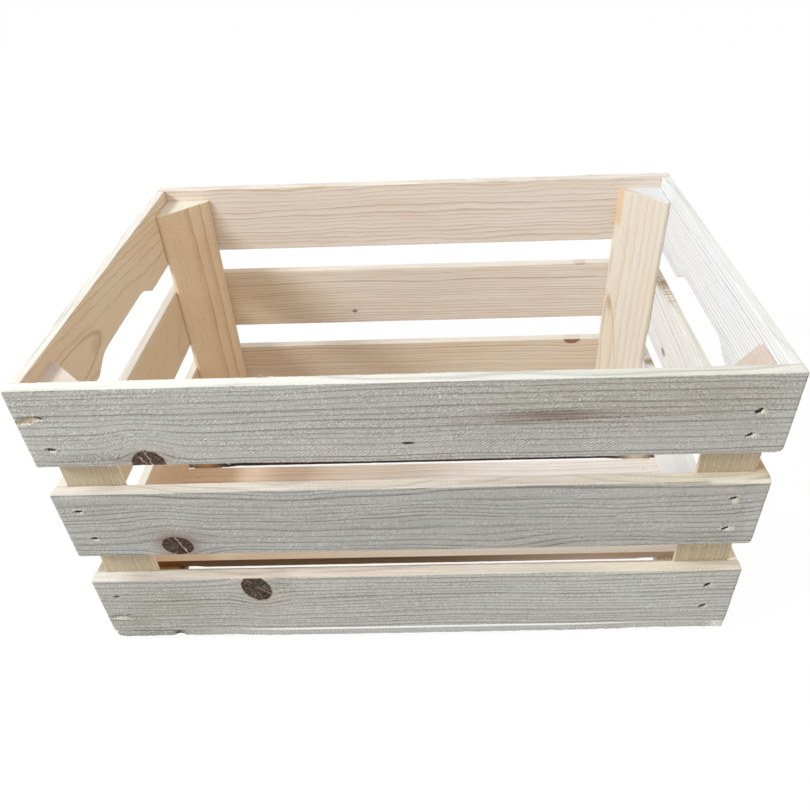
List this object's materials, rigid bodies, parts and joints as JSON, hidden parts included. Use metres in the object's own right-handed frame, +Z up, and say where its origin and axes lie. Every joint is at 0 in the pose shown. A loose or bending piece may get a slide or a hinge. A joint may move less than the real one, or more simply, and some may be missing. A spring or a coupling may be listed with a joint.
{
  "type": "slatted fruit crate",
  "caption": "Open-topped nailed softwood fruit crate with slatted walls on triangular corner posts, notched hand-holds in the ends, a boarded floor and battens for stacking.",
  "frame": {"origin": "on the ground under the middle of the crate, at the undersides of the battens", "axes": "+X along the crate, +Y from the front to the back, +Z up"},
  "size_m": [0.5, 0.32, 0.273],
  "materials": {
    "slat_wood": "rough-sawn pale softwood, bare",
    "end_wood": "planed pale softwood, bare",
    "post_wood": "sawn pale softwood, bare",
    "floor_wood": "sawn pale softwood, bare",
    "nail_steel": "dull wire"
  },
  "bodies": {
    "root": {"front_bottom_slat": "slat_wood", "front_middle_slat": "slat_wood", "front_top_slat": "slat_wood", "back_bottom_slat": "slat_wood", "back_middle_slat": "slat_wood", "back_top_slat": "slat_wood", "left_bottom_slat": "end_wood", "left_middle_slat": "end_wood", "left_handle_board": "end_wood", "right_bottom_slat": "end_wood", "right_middle_slat": "end_wood", "right_handle_board": "end_wood", "front_left_post": "post_wood", "front_right_post": "post_wood", "back_left_post": "post_wood", "back_right_post": "post_wood", "front_edge_board": "floor_wood", "inner_board_1": "floor_wood", "inner_board_2": "floor_wood", "inner_board_3": "floor_wood", "back_edge_board": "floor_wood", "left_batten": "floor_wood", "right_batten": "floor_wood", "front_wall_nails": "nail_steel", "back_wall_nails": "nail_steel", "left_end_nails": "nail_steel", "right_end_nails": "nail_steel", "floor_nails": "nail_steel", "batten_nails": "nail_steel"}
  },
  "joints": []
}
